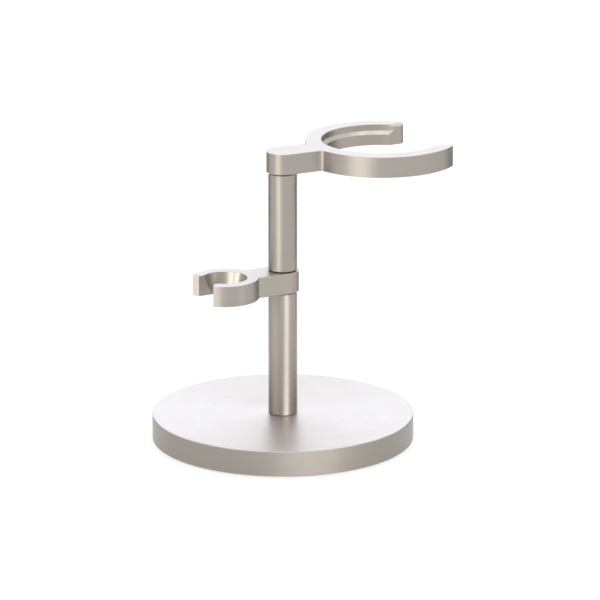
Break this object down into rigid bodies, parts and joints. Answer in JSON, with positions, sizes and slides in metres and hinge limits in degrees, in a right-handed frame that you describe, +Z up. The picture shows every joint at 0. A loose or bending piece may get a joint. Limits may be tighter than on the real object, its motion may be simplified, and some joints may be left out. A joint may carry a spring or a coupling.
{
  "type": "razor stand",
  "caption": "Metal stand with a round weighted base, a slim post and two opposed swivelling C-arms that hold a safety razor and a shaving brush.",
  "frame": {"origin": "centre of the anti-slip pad's underside, on the post's axis, where the stand meets the table", "axes": "+Z up along the post; +X the way the shaving brush arm points at rest; the razor arm points along -X"},
  "size_m": [0.1007, 0.09, 0.102],
  "materials": {
    "satin_base": "fine turned satin, warm nickel tone",
    "satin_post": "fine satin, warm nickel tone",
    "satin_arm": "fine satin, warm nickel tone",
    "fastener_steel": "zinc-plated machine finish",
    "pad_rubber": "matt black",
    "washer_nylon": "matt dark"
  },
  "bodies": {
    "stand": {"base_disc": "satin_base", "anti_slip_pad": "pad_rubber", "base_spring_washer": "fastener_steel", "base_screw": "fastener_steel", "lower_post": "satin_post", "lower_friction_washer": "washer_nylon", "middle_stud": "fastener_steel", "middle_friction_washer": "washer_nylon", "upper_post": "satin_post", "post_set_screw": "fastener_steel", "top_friction_washer": "washer_nylon"},
    "razor_arm": {"razor_arm": "satin_arm"},
    "brush_arm": {"brush_arm": "satin_arm", "arm_pin": "fastener_steel"}
  },
  "joints": [
    {"name": "razor_arm_swivel", "type": "hinge", "parent": "stand", "child": "razor_arm", "pos_m": [0, 0, 0.0565], "axis": [0, 0, 1], "continuous": true},
    {"name": "brush_arm_swivel", "type": "hinge", "parent": "stand", "child": "brush_arm", "pos_m": [0, 0, 0.0984], "axis": [0, 0, 1], "continuous": true}
  ]
}
